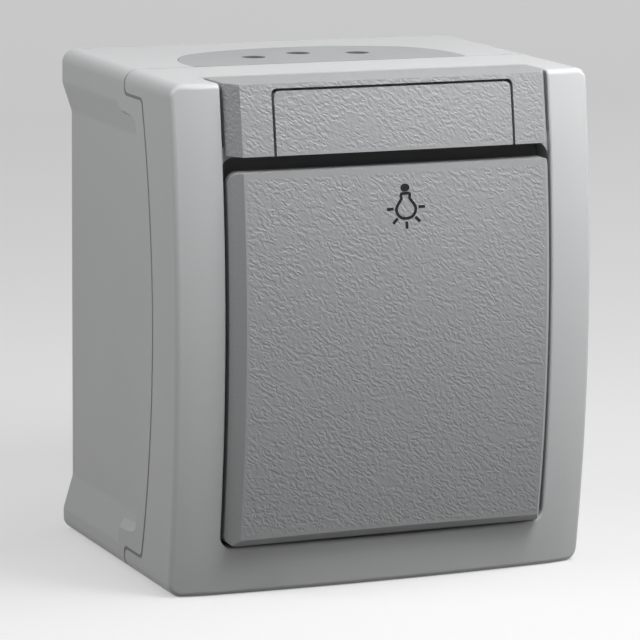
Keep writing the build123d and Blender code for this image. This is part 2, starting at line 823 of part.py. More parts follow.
def push_key():
    tall = key_top - key_bottom
    outline = Pos(0, key_bottom + tall / 2) * RectangleRounded(
        2 * key_half_width, tall, key_radius)
    rear = skirt_depth_bottom - 2
    body = front_prism(outline, rear, face_depth) & face_shell(rear - 2)
    top_front = body.edges().filter_by(Axis.X).group_by(Axis.Z)[-1].group_by(Axis.Y)[0]
    body = fillet(top_front, key_top_round)
    body -= bottom_bevel()
    pocket = face_shell(rear - 4, key_wall, key_half_width - key_wall + 0.6)
    pocket &= block(-key_half_width + key_wall, key_half_width - key_wall, 0, face_depth,
                    key_bottom + key_wall + key_bottom_bevel, key_top - key_wall)
    body -= pocket
    for x in (-key_rib_spacing, 0, key_rib_spacing):
        body += key_rib(x)
    for x in (-post_spacing_x / 2, post_spacing_x / 2):
        for z in (-post_spacing_z / 2, post_spacing_z / 2):
            body += key_post(x, pivot_z + z)
    skirt = side_prism([
        (0, key_bottom - 1),
        (skirt_depth_bottom, key_bottom - 1),
        (skirt_depth_top, key_top + 1),
        (0, key_top + 1),
    ], half_width)
    keep = block(-post_spacing_x / 2 - key_post_radius, post_spacing_x / 2 + key_post_radius,
                 carrier_depth - key_peg_length, face_depth,
                 pivot_z - post_spacing_z / 2 - key_post_radius,
                 pivot_z + post_spacing_z / 2 + key_post_radius)
    return body - (skirt - keep)


def bottom_bevel():
    """Bevel along the key's lower front edge, cut as a long wedge."""
    front = barrel_depth(face_depth, face_drop, key_bottom)
    return side_prism([
        (front - key_bottom_bevel_depth, key_bottom - 0.01),
        (front + 2, key_bottom - 0.01),
        (front + 2, key_bottom + key_bottom_bevel * (1 + 2 / key_bottom_bevel_depth)),
    ], half_width)


def key_rib(x):
    """Stiffening rib under the key's face, from skirt to skirt."""
    half = key_rib_width / 2
    slab = block(x - half, x + half, skirt_depth_top + 0.5, face_depth,
                 key_bottom + key_wall, key_top - key_wall / 2)
    return slab & face_shell(0, key_wall / 2)


def key_post(x, z):
    """Post under the key that sits on the carrier and snaps into its hole."""
    front = barrel_depth(face_depth, face_drop, z) - key_wall / 2
    post = rod(x, z, key_post_radius, carrier_depth, front)
    return post + rod(x, z, key_peg_radius, carrier_depth - key_peg_length, carrier_depth)


def key_carrier():
    rear = carrier_depth - carrier_thickness
    plate = Pos(0, pivot_z) * RectangleRounded(
        2 * carrier_half_width, 2 * carrier_half_height, insert_radius)
    body = front_prism(plate, rear, carrier_depth)
    outer = ear_inner_x - hinge_gap
    for side in (-1, 1):
        x0 = side * outer
        x1 = side * (outer - cheek_thickness)
        body += cross_rod(hinge_boss_radius, min(x0, x1), max(x0, x1), pivot_depth, pivot_z)
        body += block(x0, x1, pivot_depth, rear + 0.5,
                      pivot_z - hinge_boss_radius, pivot_z + hinge_boss_radius)
    body -= cross_rod(pin_radius + pin_clearance, -width, width, pivot_depth, pivot_z)
    for x in (-post_spacing_x / 2, post_spacing_x / 2):
        for z in (-post_spacing_z / 2, post_spacing_z / 2):
            body -= rod(x, pivot_z + z, key_peg_radius + key_peg_clearance, rear - 1,
                        carrier_depth + 1)
    nub_rear = plunger_head_depth + plunger_gap
    body += rod(0, contact_z, nub_radius, nub_rear, rear + 0.5)
    return body


def pivot_pin():
    reach = ear_inner_x + ear_thickness
    pin = cross_rod(pin_radius, -reach, reach, pivot_depth, pivot_z)
    return chamfer(pin.edges().filter_by(GeomType.CIRCLE), pin_radius / 4)


def key_seal():
    """Dark soft seal on the shelf behind the key."""
    reach = opening_half_width - seal_gap
    bottom = opening_bottom + seal_gap
    top = opening_top - seal_gap
    outline = Pos(0, (bottom + top) / 2) * RectangleRounded(
        2 * reach, top - bottom, opening_radius - seal_gap)
    window = Pos(0, pivot_z) * RectangleRounded(
        2 * seal_opening_half_width, 2 * seal_opening_half_height, shelf_radius)
    skin = front_prism(outline, seal_depth - seal_thickness, seal_depth)
    rim = outline - offset(outline, amount=-seal_lip)
    body = skin + front_prism(rim, shelf_depth, seal_depth)
    collar = offset(window, amount=seal_lip) - window
    body += front_prism(collar, shelf_depth, seal_depth)
    return body - front_prism(window, 0, face_depth)


# Insert

def insert_base():
    """Moulded body of the insert, open to the front over the contacts."""
    face = Pos(0, pivot_z) * RectangleRounded(
        2 * insert_half_width, 2 * insert_half_height, insert_radius)
    body = front_prism(face, insert_rear_depth, support_depth)
    chamber = Pos(0, chamber_z) * RectangleRounded(2 * chamber_half_width, chamber_height, 1.0)
    body -= front_prism(chamber, chamber_floor_depth, support_depth + 1)
    body -= rod(0, contact_z, spring_well_radius, spring_well_depth, chamber_floor_depth + 1)
    half = terminal_size / 2 + terminal_clearance
    front = strip_front + terminal_clearance
    for x in (-terminal_x, terminal_x):
        body -= block(x - half, x + half, terminal_rear_depth - terminal_clearance, front,
                      insert_bottom - 1, terminal_z + terminal_length + terminal_clearance)
        slot = strip_half_width + terminal_clearance
        body -= block(x - slot, x + slot, chamber_floor_depth, front,
                      terminal_z + terminal_length - 1, pivot_z + chamber_bottom + 1)
        body -= wire_funnel(x)
    for x, z in rivet_places():
        body -= rod(x, z, rivet_radius + rivet_clearance, 0, face_depth)
        body -= rod(x, z, rivet_head_radius + rivet_clearance, 0, insert_rear_depth + rivet_head)
    return body


def wire_z():
    return terminal_z + terminal_length - 2.6


def wire_funnel(x):
    """Flared wire entry in the insert's rear face."""
    depth = terminal_rear_depth - insert_rear_depth
    hole = rod(x, wire_z(), wire_radius + 0.2, insert_rear_depth - 1, terminal_rear_depth + 1)
    flare = Plane.XZ.offset(insert_rear_depth + depth / 4) * Pos(x, wire_z())
    return hole + flare * Cone(wire_radius + 1.0, wire_radius + 0.2, depth / 2)


def rivet_places():
    return [(sx * rivet_x, pivot_z + sz * rivet_z) for sx in (-1, 1) for sz in (-1, 1)]


def insert_rivets():
    """Four tubular rivets that hold base, support plate and cover together."""
    front = cover_plate_front
    rivets = []
    for x, z in rivet_places():
        body = rod(x, z, rivet_radius, insert_rear_depth, front + rivet_head)
        body += rod(x, z, rivet_head_radius, insert_rear_depth, insert_rear_depth + rivet_head)
        body += rod(x, z, rivet_head_radius, front, front + rivet_head)
        body -= rod(x, z, rivet_radius / 2, front - 3, front + rivet_head + 1)
        rivets.append(body)
    return rivets


def support_plate():
    """Sheet-steel plate that carries the insert on the box's two posts."""
    ears = Rectangle(2 * support_half_width, 2 * support_ear_half_height)
    middle = Rectangle(2 * insert_half_width, 2 * insert_half_height)
    outline = ears + middle
    outline = fillet(outline.vertices(), insert_radius)
    plate = front_prism(Pos(0, pivot_z) * outline, support_depth, insert_front)
    window = Pos(0, chamber_z) * RectangleRounded(2 * chamber_half_width, chamber_height, 1.0)
    plate -= front_prism(window, 0, face_depth)
    for x, z in rivet_places():
        plate -= rod(x, z, rivet_radius + rivet_clearance, 0, face_depth)
    for x in (-insert_screw_x, insert_screw_x):
        hole = Pos(x, pivot_z) * SlotOverall(2 * screw_radius + 1.6, 2 * screw_radius + 0.4,
                                             rotation=90)
        plate -= front_prism(hole, 0, face_depth)
    return plate


def insert_screws():
    return [machine_screw(x, pivot_z, insert_front, insert_screw_length)
            for x in (-insert_screw_x, insert_screw_x)]


def insert_cover():
    """Moulded cover of the insert, with the hinge ears and the plunger's guide."""
    face = Pos(0, pivot_z) * RectangleRounded(
        2 * insert_half_width - 1, 2 * insert_half_height - 1, insert_radius)
    body = front_prism(face, insert_front, cover_plate_front)
    for side in (-1, 1):
        x0 = side * ear_inner_x
        x1 = side * (ear_inner_x + ear_thickness)
        body += block(x0, x1, insert_front, pivot_depth,
                      pivot_z - ear_half_height, pivot_z + ear_half_height)
        body += cross_rod(ear_half_height, min(x0, x1), max(x0, x1), pivot_depth, pivot_z)
        gusset = side_prism([
            (cover_plate_front - 1, pivot_z - 2.4 * ear_half_height),
            (cover_plate_front - 1, pivot_z + 2.4 * ear_half_height),
            (pivot_depth - 1, pivot_z),
        ], width)
        body += gusset & block(x0, side * (ear_inner_x + ear_thickness / 2), 0, pivot_depth,
                               -height, height)
    guide = plunger_radius + guide_wall
    body += rod(0, contact_z, guide, guide_rear_depth, guide_front_depth)
    body -= rod(0, contact_z, plunger_radius + plunger_clearance, 0, face_depth)
    body -= cross_rod(pin_radius, -width, width, pivot_depth, pivot_z)
    for x, z in rivet_places():
        body -= rod(x, z, rivet_radius + rivet_clearance, 0, face_depth)
    return body


# Contacts

def contact_plunger():
    """Round plunger between the carrier's nub and the return spring."""
    body = rod(0, contact_z, plunger_radius, bridge_depth + bridge_thickness, plunger_head_depth)
    head = rod(0, contact_z, plunger_head_radius,
               plunger_head_depth - plunger_head_height, plunger_head_depth)
    body += chamfer(head.edges().group_by(Axis.Y)[0], 0.4)
    body += rod(0, contact_z, guide_pin_radius, bridge_depth - flange_height - guide_pin_length,
                bridge_depth + bridge_thickness)
    body += rod(0, contact_z, flange_radius, bridge_depth - flange_height, bridge_depth)
    return body


def bridge_contact():
    """Brass bar that joins the two fixed contacts when the plunger is pressed."""
    bar = Pos(0, contact_z) * RectangleRounded(
        2 * bridge_half_length, 2 * bridge_half_height, bridge_half_height / 2)
    bar -= Pos(0, contact_z) * Circle(guide_pin_radius)
    return front_prism(bar, bridge_depth, bridge_depth + bridge_thickness)


def bridge_tips():
    return [rod(x, contact_z, tip_radius, bridge_depth - tip_height, bridge_depth)
            for x in (-tip_x, tip_x)]


def fixed_tips():
    return [rod(x, contact_z, tip_radius, strip_front, fixed_tip_front)
            for x in (-tip_x, tip_x)]


def fixed_contact(side):
    """Brass strip from one terminal to its fixed contact, bent sideways on the way."""
    rear = strip_front - strip_thickness
    low = terminal_z + terminal_length
    turn = pivot_z + chamber_bottom + 3
    x_low = side * terminal_x
    x_high = side * tip_x
    half = strip_half_width
    foot = block(x_low - half, x_low + half, rear, strip_front, terminal_z + 1, turn + half)
    x_left = min(x_low, x_high) - half
    x_right = max(x_low, x_high) + half
    jog = block(x_left, x_right, rear, strip_front, turn - half, turn + half)
    top = block(x_high - half, x_high + half, rear, strip_front, turn, contact_z + half + 0.4)
    return foot + jog + top


def terminal_clamps():
    """Two brass clamps, each with a wire hole and a threaded hole for its screw."""
    half = terminal_size / 2
    clamps = []
    for x in (-terminal_x, terminal_x):
        rear = terminal_rear_depth
        front = strip_front - strip_thickness
        body = block(x - half, x + half, rear, front, terminal_z, terminal_z + terminal_length)
        body -= rod(x, wire_z(), wire_radius, rear - 1, front + 1)
        body -= terminal_shank(x, terminal_length - 1)
        clamps.append(body)
    return clamps


def terminal_shank(x, length, radius=screw_radius + screw_clearance / 3):
    """Upright rod of the terminal's screw, from the clamp's lower face."""
    depth = (terminal_rear_depth + strip_front - strip_thickness) / 2
    disc = Pos(x, -depth, terminal_z) * Circle(radius)
    return extrude(disc, amount=length)


def terminal_screws():
    """Two terminal screws with slotted heads below their clamps."""
    depth = (terminal_rear_depth + strip_front - strip_thickness) / 2
    screws = []
    for x in (-terminal_x, terminal_x):
        body = terminal_shank(x, terminal_screw_length - wire_radius, screw_radius)
        head = Pos(x, -depth, terminal_z) * Circle(screw_head_radius - 0.3)
        body += extrude(head, amount=-screw_head_height)
        slot = Pos(x, -depth, terminal_z - screw_head_height)
        body -= slot * Box(screw_slot, 3 * screw_head_radius, screw_head_height)
        screws.append(body)
    return screws


def return_spring():
    """Coil spring between the well's floor and the plunger's flange."""
    start = spring_well_depth + spring_wire_radius + spring_end_gap
    end = bridge_depth - flange_height - spring_wire_radius - spring_end_gap
    pitch = (end - start) / spring_turns
    path = Helix(pitch, end - start, spring_mean_radius)
    wire = Plane(path @ 0, z_dir=path % 0) * RegularPolygon(spring_wire_radius, 8)
    coil = sweep(wire, path=path, is_frenet=True)
    place = Plane((0, -start, contact_z), x_dir=(1, 0, 0), z_dir=(0, -1, 0))
    return place.location * coil


def travel():
    """How far the plunger moves over the key's whole travel."""
    return plunger_z * radians(press_angle)


def write(name, shape):
    """One file per piece; a list is a group of separate solids."""
    solid = Compound(children=shape) if isinstance(shape, list) else shape
    export_step(solid, "parts/" + name + ".step")


def main():
    os.makedirs("parts", exist_ok=True)
    write("back_box", back_box())
    write("entry_membrane", entry_membrane())
    write("cover_gasket", cover_gasket())
    write("front_cover", front_cover())
    write("cover_screws", cover_screws())
    write("label_band", label_band())
    write("marking_plate", marking_plate())
    write("push_key", push_key())
    write("key_seal", key_seal())
    write("key_carrier", key_carrier())
    write("pivot_pin", pivot_pin())
    write("insert_base", insert_base())
    write("insert_cover", insert_cover())
    write("insert_rivets", insert_rivets())
    write("support_plate", support_plate())
    write("insert_screws", insert_screws())
    write("contact_plunger", contact_plunger())
    write("bridge_contact", bridge_contact())
    write("bridge_tips", bridge_tips())
    write("fixed_contact_line", fixed_contact(-1))
    write("fixed_contact_load", fixed_contact(1))
    write("fixed_tips", fixed_tips())
    write("terminal_clamps", terminal_clamps())
    write("terminal_screws", terminal_screws())
    write("return_spring", return_spring())
    print("pivot height", round(pivot_z, 3), "plunger travel", round(travel(), 4))
    print("key tip travel", round((key_top - pivot_z) * sin(radians(press_angle)), 2))


main()
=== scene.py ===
import bmesh
import bpy
from math import cos, pi, radians, sin
from mathutils import Euler, Matrix, Vector
from mathutils.bvhtree import BVHTree


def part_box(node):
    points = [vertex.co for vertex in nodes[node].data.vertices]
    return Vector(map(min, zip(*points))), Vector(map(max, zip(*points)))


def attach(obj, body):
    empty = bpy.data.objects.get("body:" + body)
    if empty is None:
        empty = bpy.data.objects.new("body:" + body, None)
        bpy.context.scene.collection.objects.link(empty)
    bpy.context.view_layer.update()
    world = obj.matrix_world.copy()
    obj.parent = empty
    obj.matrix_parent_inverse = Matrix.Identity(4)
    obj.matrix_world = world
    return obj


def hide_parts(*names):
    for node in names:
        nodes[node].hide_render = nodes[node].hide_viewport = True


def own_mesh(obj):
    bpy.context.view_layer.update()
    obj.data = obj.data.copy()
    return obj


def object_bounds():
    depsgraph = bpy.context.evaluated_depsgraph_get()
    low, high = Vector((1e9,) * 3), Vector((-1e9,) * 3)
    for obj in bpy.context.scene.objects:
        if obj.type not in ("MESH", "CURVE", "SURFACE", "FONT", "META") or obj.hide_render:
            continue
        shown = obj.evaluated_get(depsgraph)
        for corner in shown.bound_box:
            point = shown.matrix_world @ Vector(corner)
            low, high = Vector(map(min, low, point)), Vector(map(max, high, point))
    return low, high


# Surface-mounted light push switch: looks, small parts, studio.
# Sizes in the dictionaries are millimetres unless a note says otherwise.

mm = 0.001
metre = 1000          # in millimetres
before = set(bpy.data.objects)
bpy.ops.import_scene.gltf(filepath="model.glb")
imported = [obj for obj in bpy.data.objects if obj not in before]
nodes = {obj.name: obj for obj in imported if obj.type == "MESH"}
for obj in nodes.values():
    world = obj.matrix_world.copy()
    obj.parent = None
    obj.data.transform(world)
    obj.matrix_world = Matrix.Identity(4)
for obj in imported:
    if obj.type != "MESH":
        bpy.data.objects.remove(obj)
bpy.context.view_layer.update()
print("frame loaded:", len(nodes), "pieces")


# Camera

cameraSetup = {
    "place": (-229.5, -567.3, 106.3),
    "yaw": -22.89,        # degrees, to the right of straight ahead
    "pitch": -10.44,
    "roll": -0.51,
    "lens": 222.1,
    "sensor": 36.0,
    "near": 0.01,         # metres, as is the next
    "far": 20.0,
}


def placeCamera(setup):
    turn = (Matrix.Rotation(radians(setup["yaw"]), 3, "Z")
            @ Matrix.Rotation(radians(setup["pitch"]), 3, "X")
            @ Matrix.Rotation(radians(setup["roll"]), 3, "Y"))
    data = bpy.data.cameras.new("photoCamera")
    data.sensor_fit = "HORIZONTAL"
    data.sensor_width = setup["sensor"]
    data.lens = setup["lens"]
    data.clip_start = setup["near"]
    data.clip_end = setup["far"]
    camera = bpy.data.objects.new("photoCamera", data)
    bpy.context.scene.collection.objects.link(camera)
    # the camera looks along its own -Z, with +Y up
    look = turn @ Matrix.Rotation(radians(90), 3, "X")
    camera.matrix_world = Matrix.Translation(Vector(setup["place"]) * mm) @ look.to_4x4()
    bpy.context.scene.camera = camera


placeCamera(cameraSetup)
print("camera placed")


# Node helpers

def addNode(tree, kind, values=None, **settings):
    node = tree.nodes.new(kind)
    for name, value in settings.items():
        setattr(node, name, value)
    for name, value in (values or {}).items():
        node.inputs[name].default_value = value
    return node


def link(tree, source, target):
    tree.links.new(source, target)


def newMaterial(name, roughness, metallic=0.0, specular=0.5):
    material = bpy.data.materials.new(name)
    material.use_nodes = True
    tree = material.node_tree
    shader = tree.nodes["Principled BSDF"]
    shader.inputs["Roughness"].default_value = roughness
    shader.inputs["Metallic"].default_value = metallic
    shader.inputs["Specular IOR Level"].default_value = specular
    return material, tree, shader


def objectPlace(tree, stretch=(1, 1, 1)):
    # object coordinates in millimetres, stretched where a pattern needs it
    coords = addNode(tree, "ShaderNodeTexCoord")
    mapping = addNode(tree, "ShaderNodeMapping", {"Scale": [metre * s for s in stretch]})
    link(tree, coords.outputs["Object"], mapping.inputs["Vector"])
    return mapping.outputs["Vector"]


def mathNode(tree, operation, first, second=None, third=None):
    # each value is a number or another node's output
    node = addNode(tree, "ShaderNodeMath", operation=operation)
    for slot, value in enumerate((first, second, third)):
        if value is None:
            continue
        if isinstance(value, (int, float)):
            node.inputs[slot].default_value = value
        else:
            link(tree, value, node.inputs[slot])
    return node.outputs["Value"]


def noise(tree, place, scale, detail=2.0, rough=0.5):
    node = addNode(tree, "ShaderNodeTexNoise",
                   {"Scale": scale, "Detail": detail, "Roughness": rough})
    link(tree, place, node.inputs["Vector"])
    return node.outputs["Fac"]


def rampStep(tree, value, low, high):
    node = addNode(tree, "ShaderNodeMapRange", {"From Min": low, "From Max": high},
                   interpolation_type="SMOOTHSTEP")
    link(tree, value, node.inputs["Value"])
    return node.outputs["Result"]


def shadeBetween(tree, value, dark, light):
    node = addNode(tree, "ShaderNodeMix", data_type="RGBA")
    node.inputs["A"].default_value = (*dark, 1)
    node.inputs["B"].default_value = (*light, 1)
    link(tree, value, node.inputs["Factor"])
    return node.outputs["Result"]


def addBump(tree, shader, height, distance):
    # distance is in millimetres
    bump = addNode(tree, "ShaderNodeBump", {"Strength": 1.0, "Distance": distance * mm})
    link(tree, height, bump.inputs["Height"])
    link(tree, bump.outputs["Normal"], shader.inputs["Normal"])


# Materials
# The scale of a noise is about the number of its features in a millimetre.

cloudDetail = 3.0
plasticCloud = 0.06
pebbleDetail = 2.0
pebbleRough = 0.6
housingLook = {"colour": (0.545, 0.550, 0.556), "spread": 0.018, "roughness": 0.37,
               "pebble": 0.35, "pebbleHeight": 0.004}
grainLook = {"colour": (0.335, 0.339, 0.345), "roughness": 0.44,
             "wrinkleScale": 2.45,      # wrinkles for each millimetre, across
             "wrinkleDetail": 1.0, "wrinkleRough": 0.4,
             "wrinkleLow": 0.36, "wrinkleHigh": 0.64,
             "stretch": 2.0,
             "lean": 36.0,              # degrees
             "sway": 0.7, "swayScale": 0.9,
             "calmScale": 0.5, "calmLow": 0.30, "calmHigh": 0.52,
             "calmShare": 0.35,         # of the wrinkles' height, left in the calmest patch
             "pores": 0.05, "poreScale": 4.5,
             "height": 0.058,
             "cloudScale": 0.05, "darkest": 0.97, "lightest": 1.03,
             "fadeOut": 0.3, "fadeIn": 0.4}     # past and inside the edge of the grain
# the dimple values paint shade into the membrane's cable dimples, from dimpleStart down to
# dimpleFloor
softGreyLook = {"colour": (0.365, 0.370, 0.376), "roughness": 0.62,
                "dimpleStart": 37.49, "dimpleFloor": 37.38, "dimplePaintedShade": 0.20}
softBlackLook = {"colour": (0.250, 0.250, 0.253), "roughness": 0.55}
symbolLook = {"colour": (0.010, 0.010, 0.011), "roughness": 0.5}
softPattern = {"specular": 0.35, "cloudScale": 0.09, "darkest": 0.93, "lightest": 1.07,
               "skinScale": 3.5, "skinDetail": 3.0, "skinHeight": 0.012}
metalPattern = {"markLength": 0.08,     # scale along the marks
                "markDetail": 3.0, "markRough": 0.65, "markHeight": 0.006,
                "darkest": 0.86, "roughSpread": 0.16}


def smoothPlastic(name, look):
    material, tree, shader = newMaterial(name, look["roughness"])
    place = objectPlace(tree)
    cloud = noise(tree, place, plasticCloud, cloudDetail)
    dark = [c - look["spread"] for c in look["colour"]]
    light = [c + look["spread"] for c in look["colour"]]
    link(tree, shadeBetween(tree, cloud, dark, light), shader.inputs["Base Color"])
    pebble = noise(tree, place, 1 / look["pebble"], pebbleDetail, pebbleRough)
    addBump(tree, shader, pebble, look["pebbleHeight"])
    return material


def grainHeight(tree, look):
    # short wrinkles that lean one way, with calmer patches between them
    place = objectPlace(tree)
    sway = addNode(tree, "ShaderNodeTexNoise", {"Scale": look["swayScale"], "Detail": 1.0})
    link(tree, place, sway.inputs["Vector"])
    centred = addNode(tree, "ShaderNodeVectorMath", operation="SUBTRACT")
    centred.inputs[1].default_value = (0.5, 0.5, 0.5)
    link(tree, sway.outputs["Color"], centred.inputs[0])
    swayed = addNode(tree, "ShaderNodeVectorMath", operation="MULTIPLY_ADD")
    swayed.inputs[1].default_value = [look["sway"]] * 3
    link(tree, centred.outputs["Vector"], swayed.inputs[0])
    link(tree, place, swayed.inputs[2])
    leaning = addNode(tree, "ShaderNodeMapping", {"Rotation": (0, radians(look["lean"]), 0),
                                                  "Scale": (look["stretch"], 1.0, 1.0)},
                      vector_type="TEXTURE")
    link(tree, swayed.outputs["Vector"], leaning.inputs["Vector"])
    wrinkles = noise(tree, leaning.outputs["Vector"], look["wrinkleScale"],
                     look["wrinkleDetail"], look["wrinkleRough"])
    wrinkles = rampStep(tree, wrinkles, look["wrinkleLow"], look["wrinkleHigh"])
    calm = noise(tree, place, look["calmScale"], 1.0)
    calm = rampStep(tree, calm, look["calmLow"], look["calmHigh"])
    calm = mathNode(tree, "MULTIPLY_ADD", calm, 1 - look["calmShare"], look["calmShare"])
    pores = noise(tree, place, look["poreScale"], 1.0)
    raised = mathNode(tree, "MULTIPLY", mathNode(tree, "SUBTRACT", wrinkles, 0.5), calm)
    return mathNode(tree, "MULTIPLY_ADD", pores, look["pores"], raised)


def faceMask(tree, look, area):
    # one on the flat of the face, less on the bevels beside it, nothing at its ends
    split = addNode(tree, "ShaderNodeSeparateXYZ")
    link(tree, objectPlace(tree), split.inputs["Vector"])
    across = mathNode(tree, "ABSOLUTE", split.outputs["X"])
    out, into = look["fadeOut"], look["fadeIn"]
    inside = rampStep(tree, across, area["half"] + out, area["half"] - out)
    inside = mathNode(tree, "MULTIPLY_ADD", inside, 1 - area["bevel"], area["bevel"])
    above = rampStep(tree, split.outputs["Z"], area["bottom"] - out, area["bottom"] + into)
    below = rampStep(tree, split.outputs["Z"], area["top"] + out, area["top"] - into)
    return mathNode(tree, "MULTIPLY", mathNode(tree, "MULTIPLY", inside, above), below)


def grainPlastic(name, look, area):
    material, tree, shader = newMaterial(name, look["roughness"])
    mask = faceMask(tree, look, area)
    height = mathNode(tree, "MULTIPLY", grainHeight(tree, look), mask)
    cloud = noise(tree, objectPlace(tree), look["cloudScale"], cloudDetail)
    dark = [c * look["darkest"] for c in look["colour"]]
    light = [c * look["lightest"] for c in look["colour"]]
    link(tree, shadeBetween(tree, cloud, dark, light), shader.inputs["Base Color"])
    addBump(tree, shader, height, look["height"])
    return material


def softMaterial(name, look):
    pattern = softPattern
    material, tree, shader = newMaterial(name, look["roughness"], specular=pattern["specular"])
    place = objectPlace(tree)
    cloud = noise(tree, place, pattern["cloudScale"], cloudDetail)
    dark = [c * pattern["darkest"] for c in look["colour"]]
    light = [c * pattern["lightest"] for c in look["colour"]]
    colour = shadeBetween(tree, cloud, dark, light)
    if "dimplePaintedShade" in look:
        # painted shade: the colour darkens deeper down in the three cable dimples
        height = addNode(tree, "ShaderNodeSeparateXYZ")
        link(tree, place, height.inputs["Vector"])
        deep = rampStep(tree, height.outputs["Z"], look["dimpleStart"], look["dimpleFloor"])
        mix = addNode(tree, "ShaderNodeMix", data_type="RGBA")
        link(tree, deep, mix.inputs["Factor"])
        link(tree, colour, mix.inputs["A"])
        mix.inputs["B"].default_value = (*[c * look["dimplePaintedShade"] for c in look["colour"]], 1)
        colour = mix.outputs["Result"]
    link(tree, colour, shader.inputs["Base Color"])
    skin = noise(tree, place, pattern["skinScale"], pattern["skinDetail"])
    addBump(tree, shader, skin, pattern["skinHeight"])
    return material


def metalMaterial(name, colour, roughness, streak, along):
    # the rolling or turning marks run along x, y or z, which is 0, 1 or 2
    pattern = metalPattern
    material, tree, shader = newMaterial(name, roughness, metallic=1.0)
    stretch = [pattern["markLength"] if i == along else 1.0 for i in range(3)]
    marks = noise(tree, objectPlace(tree, stretch), streak,
                  pattern["markDetail"], pattern["markRough"])
    dark = [c * pattern["darkest"] for c in colour]
    link(tree, shadeBetween(tree, marks, dark, colour), shader.inputs["Base Color"])
    spread = mathNode(tree, "MULTIPLY_ADD", marks, pattern["roughSpread"],
                      roughness - pattern["roughSpread"] / 2)
    link(tree, spread, shader.inputs["Roughness"])
    addBump(tree, shader, marks, pattern["markHeight"])
    return material


housingPlastic = smoothPlastic("housingPlastic", housingLook)
keyPlastic = grainPlastic("keyPlastic", grainLook,
                          {"half": 23.4, "bevel": 0.2, "bottom": -28.1, "top": 24.1})
bandPlastic = grainPlastic("bandPlastic", grainLook,
                           {"half": 23.4, "bevel": 0.8, "bottom": 27.7, "top": 39.0})
softGrey = softMaterial("softGrey", softGreyLook)
softBlack = softMaterial("softBlack", softBlackLook)
symbolInk = softMaterial("symbolInk", symbolLook)
insertPlastic = smoothPlastic("insertPlastic", {"colour": (0.66, 0.65, 0.61), "spread": 0.02,
                                                "roughness": 0.48, "pebble": 0.5,
                                                "pebbleHeight": 0.006})
darkPlastic = smoothPlastic("darkPlastic", {"colour": (0.045, 0.046, 0.048), "spread": 0.006,
                                            "roughness": 0.4, "pebble": 0.4,
                                            "pebbleHeight": 0.004})
zincSteel = metalMaterial("zincSteel", (0.62, 0.63, 0.65),
                          roughness=0.36, streak=2.2, along=1)
plateSteel = metalMaterial("plateSteel", (0.58, 0.59, 0.60),
                           roughness=0.40, streak=1.6, along=0)
springSteel = metalMaterial("springSteel", (0.46, 0.46, 0.47),
                            roughness=0.30, streak=3.0, along=1)
terminalBrass = metalMaterial("terminalBrass", (0.72, 0.53, 0.24),
                              roughness=0.32, streak=1.8, along=2)
contactSilver = metalMaterial("contactSilver", (0.80, 0.79, 0.76),
                              roughness=0.22, streak=2.5, along=1)

nodeLooks = {
    "back_box": housingPlastic, "front_cover": housingPlastic,
    "push_key": keyPlastic, "label_band": bandPlastic, "marking_plate": bandPlastic,
    "entry_membrane": softGrey, "cover_gasket": softBlack, "key_seal": softBlack,
    "key_carrier": darkPlastic, "contact_plunger": darkPlastic,
    "insert_base": insertPlastic, "insert_cover": insertPlastic,
    "cover_screws": zincSteel, "insert_screws": zincSteel, "terminal_screws": zincSteel,
    "support_plate": plateSteel, "pivot_pin": springSteel, "return_spring": springSteel,
    "insert_rivets": terminalBrass, "bridge_contact": terminalBrass,
    "fixed_contact_line": terminalBrass, "fixed_contact_load": terminalBrass,
    "terminal_clamps": terminalBrass, "bridge_tips": contactSilver,
    "fixed_tips": contactSilver,
}
for nodeName, look in nodeLooks.items():
    nodes[nodeName].data.materials.clear()
    nodes[nodeName].data.materials.append(look)
print("materials on", len(nodeLooks), "pieces")


# Geometry node helpers

def newTree(name, inputs):
    # inputs: name, kind of socket, first value
    tree = bpy.data.node_groups.new(name, "GeometryNodeTree")
    for label, kind, value in inputs:
        socket = tree.interface.new_socket(label, in_out="INPUT", socket_type=kind)
        socket.default_value = value
    tree.interface.new_socket("Geometry", in_out="OUTPUT", socket_type="NodeSocketGeometry")
    return tree, tree.nodes.new("NodeGroupInput"), tree.nodes.new("NodeGroupOutput")


def endTree(tree, source, outputNode, material):
    realize = addNode(tree, "GeometryNodeRealizeInstances")
    paint = addNode(tree, "GeometryNodeSetMaterial")
    paint.inputs["Material"].default_value = material
    link(tree, source, realize.inputs["Geometry"])
    link(tree, realize.outputs["Geometry"], paint.inputs["Geometry"])
    link(tree, paint.outputs["Geometry"], outputNode.inputs["Geometry"])


def growMesh(tree, name, values):
    # runs the tree on an empty carrier and keeps only the mesh that it makes
    carrier = bpy.data.objects.new(name + "Carrier", bpy.data.meshes.new(name + "Carrier"))
    bpy.context.scene.collection.objects.link(carrier)
    modifier = carrier.modifiers.new("grow", "NODES")
    modifier.node_group = tree
    for item in tree.interface.items_tree:
        if item.in_out == "INPUT" and item.name in values:
            modifier[item.identifier] = values[item.name]
    bpy.context.view_layer.update()
    evaluated = carrier.evaluated_get(bpy.context.evaluated_depsgraph_get())
    mesh = bpy.data.meshes.new_from_object(evaluated)
    mesh.name = name
    carrier.modifiers.remove(modifier)
    bpy.data.objects.remove(carrier)
    return mesh


def newPiece(name, mesh):
    piece = bpy.data.objects.new(name, mesh)
    bpy.context.scene.collection.objects.link(piece)
    return piece


# Bulb symbol, printed on the key

symbol = {
    "centreX": 1.1,
    "rayCentreZ": 19.0,
    "rays": 5,
    "rayInner": 1.97,
    "rayLength": 1.05,
    "rayCuts": 7,          # points along a ray, so that it follows the bow
    "stroke": 0.44,
    "outlineCuts": 4,      # from one point of the bulb's outline to the next
    "capZ": 21.93,
    "capWide": 1.45,
    "capTall": 1.15,
    "tilt": 1.8,           # degrees
    "ink": 0.02,           # thickness
    "clear": 0.012,        # how far its back stands off the key's facets
}
